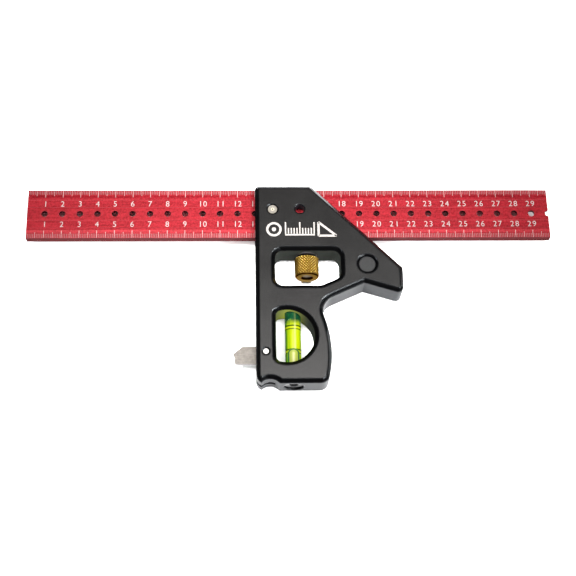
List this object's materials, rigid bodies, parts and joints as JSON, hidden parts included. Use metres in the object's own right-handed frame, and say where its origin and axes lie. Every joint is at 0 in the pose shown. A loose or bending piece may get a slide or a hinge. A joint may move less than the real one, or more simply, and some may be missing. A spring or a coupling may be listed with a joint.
{
  "type": "combination square",
  "caption": "Combination square: a metric rule sliding in a cast head with 90 and 45 degree faces, a knurled lock nut, a spirit level and a flip-out support tab.",
  "frame": {"origin": "centre of the whole object's footprint, on the surface that the head's back face rests on", "axes": "+X along the rule towards its 30 cm end, +Y across the rule from the grip to the rule, +Z out of the head's face"},
  "size_m": [0.3, 0.118, 0.0185],
  "materials": {
    "head_black": "satin black anodised aluminium with glossy chamfers",
    "rule_red": "red anodised extrusion with white printed scale",
    "brass": "diamond knurled, turned",
    "bolt_steel": "turned and milled steel",
    "spring_steel": "drawn spring wire",
    "bright_steel": "turned bright steel",
    "tab_steel": "stamped stainless plate",
    "magnet_dark": "dark satin disc",
    "vial_clear": "clear acrylic barrel with dark rings",
    "liquid_green": "yellow-green liquid",
    "bubble_air": "air bubble",
    "rubber_black": "matt rubber",
    "plug_plastic": "clear green plastic"
  },
  "bodies": {
    "head": {"head_casting": "head_black", "lock_washer": "bolt_steel", "lock_spring": "spring_steel", "detent_sleeve": "bright_steel", "detent_spring": "spring_steel", "tab_pivot_pin": "bright_steel", "tab_spring_washer": "spring_steel", "tab_flat_washer": "bolt_steel", "disc_magnet": "magnet_dark", "vial_tube": "vial_clear", "vial_liquid": "liquid_green", "vial_end_plug": "plug_plastic", "vial_pad": "rubber_black", "vial_retaining_plug": "magnet_dark"},
    "rule": {"ruler_blade": "rule_red"},
    "bolt": {"lock_bolt": "bolt_steel"},
    "nut": {"lock_nut": "brass"},
    "ball": {"detent_ball": "bright_steel"},
    "tab": {"support_tab": "tab_steel"},
    "bubble": {"vial_bubble": "bubble_air"}
  },
  "joints": [
    {"name": "rule_slide", "type": "slide", "parent": "head", "child": "rule", "axis": [1, 0, 0], "range_m": [-0.125, 0.13]},
    {"name": "lock_nut_turn", "type": "hinge", "parent": "head", "child": "nut", "pos_m": [0.0092, 0.011, 0.00925], "axis": [0, -1, 0], "range_deg": [0, 360]},
    {"name": "lock_bolt_rise", "type": "slide", "parent": "head", "child": "bolt", "axis": [0, 1, 0], "range_m": [0, 0.00101], "deforming": ["lock_spring"]},
    {"name": "detent_press", "type": "slide", "parent": "head", "child": "ball", "axis": [0, 0, 1], "range_m": [0, 0.0006], "stiffness_N_per_m": 600, "springref_m": -0.0005, "deforming": ["detent_spring"]},
    {"name": "tab_swing", "type": "hinge", "parent": "head", "child": "tab", "pos_m": [-0.0146, -0.0412, 0.00925], "axis": [0, 0, 1], "range_deg": [0, 90]},
    {"name": "bubble_run", "type": "slide", "parent": "head", "child": "bubble", "axis": [0, 1, 0], "range_m": [0, 0.0225]}
  ],
  "couplings": [
    {"joint": "lock_bolt_rise", "follows": "lock_nut_turn", "m_per_rad": 0.00015915}
  ]
}
